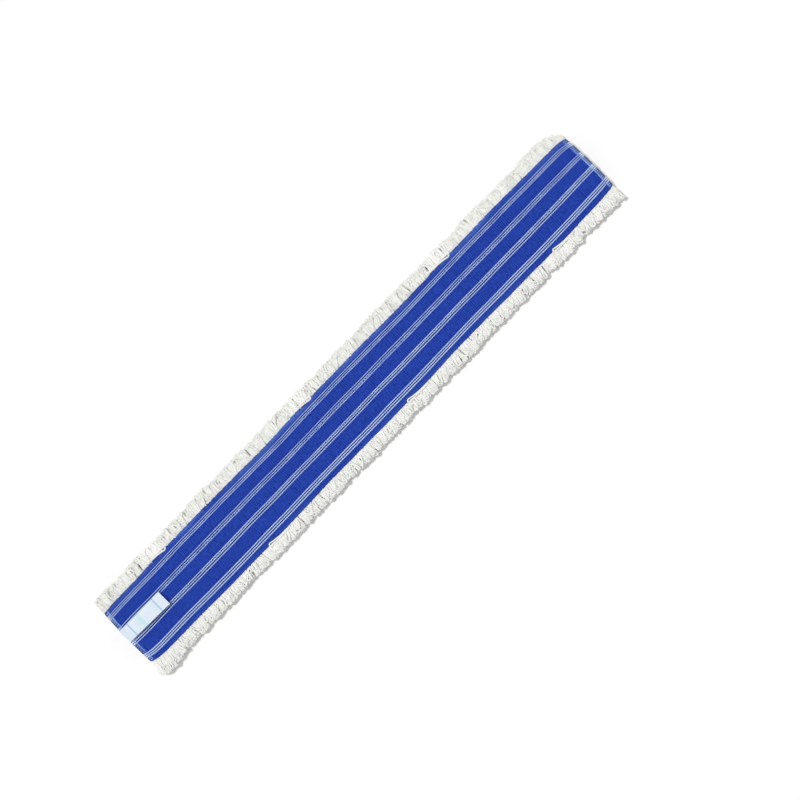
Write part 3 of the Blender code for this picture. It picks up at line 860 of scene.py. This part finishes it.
def hanging_pile(band, ways):
    """The loops that hang from one band of stitches to the floor, to the given sides of it."""
    rng = np.random.default_rng(31 + BANDS.index(band))
    count = round(2 * half_length / PILE_PITCH)
    paths = []

    def stray(name):
        return rng.normal(0, PILE_SCATTER[name], count)

    for way in ways:
        for layer, form in enumerate(PILE_LAYERS):
            x = (np.arange(count) + 0.5 + 0.25 * layer) * PILE_PITCH - half_length
            x = x + stray("place")
            x = np.clip(x, PILE_END_CLEAR - half_length, half_length - PILE_END_CLEAR)
            y = band_y[band] + way * PILE_ROOT + 0 * x
            z = form["height"] + stray("height")
            axes = bent_axes(
                np.stack([x, y, z], axis=1), way,
                form["length"] + stray("length"),
                dip=form["dip"] + stray("dip"),
                fall=form["fall"] + stray("fall"),
                lean=stray("lean"),
                curl=stray("curl"),
            )
            paths.append(loop_paths(
                axes,
                apart=PILE_APART + stray("apart"),
                roll=rng.uniform(-PILE_SCATTER["roll"], PILE_SCATTER["roll"], count),
                twist=rng.uniform(-PILE_SCATTER["twist"], PILE_SCATTER["twist"], count),
                steps=PILE_STEPS,
            ))
    paths = np.concatenate(paths)
    end = half_length - 1.5 * PILE_YARN_RADIUS
    paths[:, :, 0] = np.clip(paths[:, :, 0], -end, end)
    paths[:, :, 2] = np.maximum(paths[:, :, 2], OFF_FLOOR * PILE_YARN_RADIUS)
    piece = sweep(f"pile_{band}", paths, PILE_YARN_RADIUS, PILE_SIDES, PILE_PER_ROW, **YARN_TWIST)
    loop_marks(piece, rng.uniform(0, 1, len(paths)), PILE_STEPS, PILE_SIDES)
    settle(piece, yarn, f"loops_{band}")


fringe("rear", 1)
fringe("front", -1)
hanging_pile("rear_outer", (-1,))
hanging_pile("rear_inner", (-1, 1))
hanging_pile("front_inner", (-1, 1))
hanging_pile("front_outer", (1,))

# The stitches are white polyester thread, three lines to a band, worked as chain stitch right
# through the cloth and the yarn. Each line is a row of links, two strands that part and meet.
LINK_LENGTH = 2.4 * MM
LINK_STEPS = 6
LINK_RISE = 0.18 * MM
LINK_BULGE = 0.15 * MM
LINK_NECK = 0.3
LINK_POWER = 0.8
LINE_WIDTH_MM = {"rear_outer": 1.0, "rear_inner": 1.1, "front_inner": 1.25, "front_outer": 1.55}
STRAND_SHARE = 0.24
THREAD_SIDES = 5
THREAD_PER_ROW = 110
THREAD_PLIES = 3.0
THREAD_TURNS = 500.0
LADDER = {"rear_outer": (3, 2), "rear_inner": (3, 2), "front_inner": (1, 2)}
LADDER_RADIUS = 0.26 * MM
LADDER_SHARE = 0.7
LADDER_POWER = 0.4
LADDER_LINT = 0.3
LINE_LINT = {"rear": 0.2, "front": 0.0}
PAST_END = 1.1 * MM
TAIL_LENGTH = 3.0 * MM
TAIL_BLUR = 1.2 * MM
TAIL_PALE = 0.7
TAIL_WIDTH = 1.7 * MM
TAIL_RISE = 0.9 * MM
THREAD_WHITE = (206, 226, 255)
THREAD_SHADE = (126, 162, 248)
THREAD_LINT = (74, 122, 222)
TAIL_CREAM = (240, 242, 244)

thread, tree, shader = fabric("white_thread", roughness=0.55)
fibres = use_group(tree, loose_fibres, {"Fuzz Scale": 3000.0, "Mottle Scale": 60.0})
plies = use_group(tree, ply_twist, {"Plies": THREAD_PLIES, "Turns": THREAD_TURNS})
mottle = spread(tree, fibres["Mottle"], 0.3, 0.7, 0.0, 0.25)
# Painted shade in the grooves between the plies.
shade = math_node(tree, "MULTIPLY_ADD", plies["Groove Shade"], 0.2, mottle)
base = blend_colours(tree, shade, THREAD_WHITE, THREAD_SHADE)
lint = spread(tree, fibres["Mottle"], 0.35, 0.65, 0.6, 1.4)
lint = math_node(tree, "MULTIPLY", marked(tree, "lint"), lint)
base = blend_colours(tree, lint, base, THREAD_LINT)
base = blend_colours(tree, marked(tree, "tail"), base, TAIL_CREAM)
dress(tree, shader, base, strength=0.4, distance=0.1 * MM, height=plies["Height"])

links = round(2 * half_length / LINK_LENGTH)
link_drift = wander(np.random.default_rng(51), (9, 17, 31), 0.35)
ladder_come = wander(np.random.default_rng(52), (37, 61, 97), 0.6)
for (band, n), place in line_y.items():
    share = np.arange(links * LINK_STEPS + 1) / LINK_STEPS
    x = np.linspace(-half_length - PAST_END, half_length + PAST_END, len(share))
    lain_x = cloth_x(x, place)
    share = share + link_drift(x + 40 * place)
    belly = LINK_NECK + (1 - LINK_NECK) * np.abs(np.sin(math.pi * share)) ** LINK_POWER
    tail = np.clip((np.abs(x) - half_length + TAIL_LENGTH) / TAIL_BLUR, 0, 1)
    line_width = LINE_WIDTH_MM[band] * MM
    width = line_width + (TAIL_WIDTH - line_width) * tail
    radius = STRAND_SHARE * width
    open_to = width / 2 - radius
    rise = LINK_RISE + TAIL_RISE * tail
    strands = []
    radii = [radius, radius]
    lints = [LINE_LINT[band.split("_")[0]]] * 2
    for way in (-1, 1):
        y = cloth_y(x, place + 0 * x) + way * open_to * belly
        z = cloth_z(x, place + 0 * x) + rise + LINK_BULGE * belly
        strands.append(np.stack([lain_x, y, z], axis=1))
    if band in LADDER and n == LADDER[band][0]:
        rungs = np.cos(math.pi * share)
        rungs = 0.5 - 0.5 * np.sign(rungs) * np.abs(rungs) ** LADDER_POWER
        rungs = rungs * np.clip(LADDER_SHARE + ladder_come(x + 60 * place), 0, 1)
        crossing = place + (line_y[band, LADDER[band][1]] - place) * rungs
        z = cloth_z(x, crossing) + LINK_RISE / 2
        strands.append(np.stack([lain_x, cloth_y(x, crossing), z], axis=1))
        radii.append(LADDER_RADIUS + 0 * x)
        lints.append(LADDER_LINT)
    radii = np.stack(radii)[..., None]
    line = sweep(f"chain_stitch_{band}_{n}", np.stack(strands), radii, THREAD_SIDES, THREAD_PER_ROW)
    mark(line.data, "lint", np.repeat(lints, len(x) * THREAD_SIDES))
    mark(line.data, "tail", np.tile(np.repeat(TAIL_PALE * tail, THREAD_SIDES), len(strands)))
    settle(line, thread, f"stitch_{band}_{n}")

# The overlock binds each cut end of the cloth with pale blue-grey thread: two looper threads
# that wrap the edge in slanting turns, held by a needle thread along their inner side. A dark
# navy strand lies along the cut edge for the rolled edge of the cloth, and the turns are
# coloured darker towards the edge.
WRAP_PITCH = 2.8 * MM
WRAP_STEPS = 16
WRAP_DEPTH = 4.2 * MM
WRAP_RADIUS = 0.45 * MM
WRAP_CROSS_RADIUS = 0.14 * MM
WRAP_NEEDLE_RADIUS = 0.45 * MM
WRAP_CLEAR = 0.3 * MM
WRAP_CROSS_CLEAR = 1.6
WRAP_INSET = 1.2 * MM
WRAP_RAGGED = 0.5 * MM
WRAP_SIDES = 6
WRAP_PER_ROW = 60
WRAP_NEEDLE_BOW = 0.2 * MM
HEM_EASE = 2 * MM
RIM_RADIUS = 0.8 * MM
RIM_IN = 0.1 * MM
RIM_WAVER = 0.15 * MM
RIM_SINK = 0.15 * MM
# The turns are coloured darker towards the outer edge.
EDGE_DARKEN = 0.4
EDGE_DARKEN_DEPTH = 0.9 * MM
EDGE_DARKEN_BLUR = 0.6 * MM
WRAP_THREAD = (188, 212, 246)
WRAP_SHADE = (66, 102, 184)
RIM_NAVY = (34, 54, 108)

overlock_thread, tree, shader = fabric("overlock_thread", roughness=0.6)
fibres = use_group(tree, loose_fibres, {"Fuzz Scale": 3000.0, "Mottle Scale": 210.0})
plies = use_group(tree, ply_twist, {"Plies": THREAD_PLIES, "Turns": THREAD_TURNS})
mottle = spread(tree, fibres["Mottle"], 0.35, 0.65, 0.0, 0.6)
# Painted shade in the grooves between the plies.
shade = math_node(tree, "MULTIPLY_ADD", plies["Groove Shade"], 0.3, mottle)
base = blend_colours(tree, shade, WRAP_THREAD, WRAP_SHADE)
# Dark navy for the rim strand, and darker turns near the outer edge.
base = blend_colours(tree, marked(tree, "rim"), base, RIM_NAVY)
dress(tree, shader, base, strength=0.4, distance=0.1 * MM, height=plies["Height"])


def overlock(name, end):
    """The two loopers, the needle thread and the rim along one cut end, joined as one piece."""
    inner_x = half_length - WRAP_DEPTH
    outer_x = half_length + WRAP_RADIUS
    wraps = round(2 * (half_width - WRAP_INSET) / WRAP_PITCH)
    share = np.linspace(0, wraps, wraps * WRAP_STEPS + 1)
    y = (half_width - WRAP_INSET) * (2 * share / wraps - 1)
    turn = 2 * math.pi * share
    square = np.sign(np.cos(turn)) * np.abs(np.cos(turn)) ** 0.6
    updown = np.sign(np.sin(turn)) * np.abs(np.sin(turn)) ** 0.5
    ragged = wander(np.random.default_rng(41 + end), (5.3, 7.9, 12.1), WRAP_RAGGED)(y)
    reach = inner_x + ragged + (outer_x - inner_x - ragged) * (0.5 + 0.5 * square)
    top = cloth_z(end * half_length + 0 * y, y)
    doubled = np.clip((np.abs(y) - half_width + HEM_DEPTH) / HEM_EASE, 0, 1)
    thickness = CLOTH_THICKNESS + doubled * 2 * HEM_RADIUS
    z = top - thickness / 2 + updown * (thickness / 2 + WRAP_CLEAR)
    slanted = np.stack([cloth_x(end * reach, y), cloth_y(end * half_length + 0 * y, y), z], axis=1)
    crossed = slanted * [1, -1, 1]
    crossed[:, 0] = cloth_x(end * reach, -y)
    crossed[:, 2] = np.interp(crossed[:, 1], slanted[:, 1], top - thickness / 2) + updown * (
        np.interp(crossed[:, 1], slanted[:, 1], thickness) / 2 + WRAP_CROSS_CLEAR * WRAP_CLEAR)
    needle_z = top + WRAP_CLEAR + WRAP_NEEDLE_BOW * np.abs(np.sin(turn / 2))
    needle = np.stack([cloth_x(end * inner_x + 0 * y, y), slanted[:, 1], needle_z], axis=1)
    rim_x = half_length - RIM_IN + RIM_WAVER * np.sin(turn)
    rim = np.stack([cloth_x(end * rim_x, y), slanted[:, 1], top - RIM_SINK], axis=1)
    radius = np.array([WRAP_RADIUS, WRAP_CROSS_RADIUS, WRAP_NEEDLE_RADIUS, RIM_RADIUS])[:, None, None]
    paths = np.stack([slanted, crossed, needle, rim])
    piece = sweep(f"{name}_threads", paths, radius, WRAP_SIDES, WRAP_PER_ROW)
    # The turns are coloured towards dark navy near the outer edge. The rim strand is dark navy all along.
    tint_strength = EDGE_DARKEN * np.clip((reach - half_length + EDGE_DARKEN_DEPTH) / EDGE_DARKEN_BLUR, 0, 1)
    mark(piece.data, "rim", np.repeat([tint_strength, tint_strength, 0 * tint_strength, 0 * tint_strength + 1], WRAP_SIDES))
    settle(piece, overlock_thread, name)


overlock("overlock_left", -1)
overlock("overlock_right", 1)

# The label is a strip of white woven tape with a few plain cross stripes, laid over the seam at
# one end. It is sewn down at that end only, so the rest can be lifted like a flap.
LABEL_THICKNESS = 0.45 * MM
LABEL_STEP = 1.0 * MM
LABEL_LIFT = 2.2 * MM
LABEL_TILT = 4.6 * MM
LABEL_TILT_OVER = 0.2
LABEL_TILT_POWER = 0.7
LABEL_TILT_LOSS = 0.35
LABEL_RIPPLE = 0.25 * MM
LABEL_RIPPLE_LENGTH = 37 * MM
LABEL_CUP = 0.3 * MM
WEFT_PITCH = 0.7 * MM
WARP_PITCH = 0.5 * MM
LABEL_SHIFT = {"front": (2.2 * MM, -0.1 * MM), "rear": (0.8 * MM, 0.5 * MM)}
LABEL_STRETCH = (-0.7 * MM, 0.6 * MM)
LABEL_WHITE = (222, 232, 243)
LABEL_SHADE = (196, 210, 230)
STRIPES = (
    (11.0 * MM, 13.0 * MM, (150, 190, 220)),
    (25.5 * MM, 30.5 * MM, (186, 224, 226)),
    (53.0 * MM, 55.0 * MM, (150, 190, 220)),
)
STRIPE_DYE = 0.8

tab_low, tab_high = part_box("label_tab")
flap_low, flap_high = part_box("label_flap")
label_length = flap_high.x - tab_low.x
label_width = tab_high.y - tab_low.y
label_y = middle_y("label_tab")
count_x = round(label_length / LABEL_STEP) + 1
count_y = round(label_width / LABEL_STEP) + 1
tape_x, tape_y = np.meshgrid(
    np.linspace(tab_low.x, flap_high.x, count_x),
    np.linspace(tab_low.y, tab_high.y, count_y),
    indexing="ij",
)
free = np.clip((tape_x - flap_low.x) / (flap_high.x - flap_low.x), 0, 1)
across = (tape_y - label_y) / (label_width / 2)
tilt = LABEL_TILT * np.clip(free / LABEL_TILT_OVER, 0, 1) ** LABEL_TILT_POWER
tilt = tilt * (1 - LABEL_TILT_LOSS * free)
lift = LABEL_LIFT * free ** 2 + tilt * (0.5 - 0.5 * across)
lift = lift + LABEL_RIPPLE * np.sin(2 * math.pi * tape_x / LABEL_RIPPLE_LENGTH) * free
lift = lift + LABEL_CUP * across ** 2 * free
tape_ends = (tab_low.x, flap_high.x)
front_shift = np.interp(tape_x, tape_ends, LABEL_SHIFT["front"])
rear_shift = np.interp(tape_x, tape_ends, LABEL_SHIFT["rear"])
lain_y = tape_y + front_shift * (0.5 - 0.5 * across) + rear_shift * (0.5 + 0.5 * across)
lain_x = tape_x + np.interp(tape_x, tape_ends, LABEL_STRETCH)
tape = np.stack([lain_x, lain_y, (tab_low.z + tab_high.z) / 2 + lift], axis=-1)
points, quads = sheet_shell(tape, LABEL_THICKNESS)
label = new_piece("label_tape", points, quads.tolist())
lay_flat(label.data, 2 * (count_x - 1), count_y - 1, count_x - 1)

woven, tree, shader = fabric("white_tape", roughness=0.5, sheen=0.15, specular=0.35)
fibres = use_group(tree, loose_fibres, {"Fuzz Scale": 2400.0, "Mottle Scale": 70.0})
place = tree.nodes.new("ShaderNodeTexCoord").outputs["Object"]
split = node(tree, "SeparateXYZ", {0: place}).outputs
weft = math_node(tree, "SINE", math_node(tree, "MULTIPLY", split["X"], 2 * math.pi / WEFT_PITCH))
warp = math_node(tree, "SINE", math_node(tree, "MULTIPLY", split["Y"], 2 * math.pi / WARP_PITCH))
weave = math_node(tree, "MULTIPLY", weft, warp)
mottle = spread(tree, fibres["Mottle"], 0.3, 0.7, -0.1, 0.3)
tone = math_node(tree, "ADD", spread(tree, weave, -1, 1, 0.0, 0.25), mottle)
base = blend_colours(tree, tone, LABEL_WHITE, LABEL_SHADE)
for begin, end, dye in STRIPES:
    centre = tab_low.x + (begin + end) / 2
    on_stripe = math_node(tree, "COMPARE", split["X"], centre, (end - begin) / 2)
    dyed = math_node(tree, "MULTIPLY", on_stripe, STRIPE_DYE)
    base = blend_colours(tree, dyed, base, dye)
dress(tree, shader, base, strength=0.3, distance=0.1 * MM, height=weave)
label.data.materials.append(woven)
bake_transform(label)
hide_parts("label_tab", "label_flap")

# The tack is one short run of white thread that sews the label's end down through the cloth:
# six stitches across the tape, each a small bow on top between two holes.
TACK_STITCHES = 6
TACK_STEPS = 10
TACK_RADIUS = 0.3 * MM
TACK_SINK = 0.6 * MM
TACK_PROUD = 0.7
TACK_WAVER = 0.2 * MM
TACK_PALE = 0.85
TACK_SIDES = 6
TACK_PER_ROW = 30

tack_low, tack_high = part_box("label_tack")
share = np.linspace(0, TACK_STITCHES, TACK_STITCHES * TACK_STEPS + 1)
y = tack_low.y + TACK_RADIUS + (tack_high.y - tack_low.y - 2 * TACK_RADIUS) * share / TACK_STITCHES
bow = np.abs(np.sin(math.pi * share)) ** 0.6
z = tab_high.z - TACK_SINK + (TACK_SINK + TACK_PROUD * TACK_RADIUS) * bow
x = (tack_low.x + tack_high.x) / 2 + TACK_WAVER * np.sin(math.pi * share)
tack = sweep("label_tack_thread", np.stack([x, y, z], axis=1)[None], TACK_RADIUS, TACK_SIDES, TACK_PER_ROW)
mark(tack.data, "tail", np.full(len(tack.data.vertices), TACK_PALE))
settle(tack, thread, "label_tack")
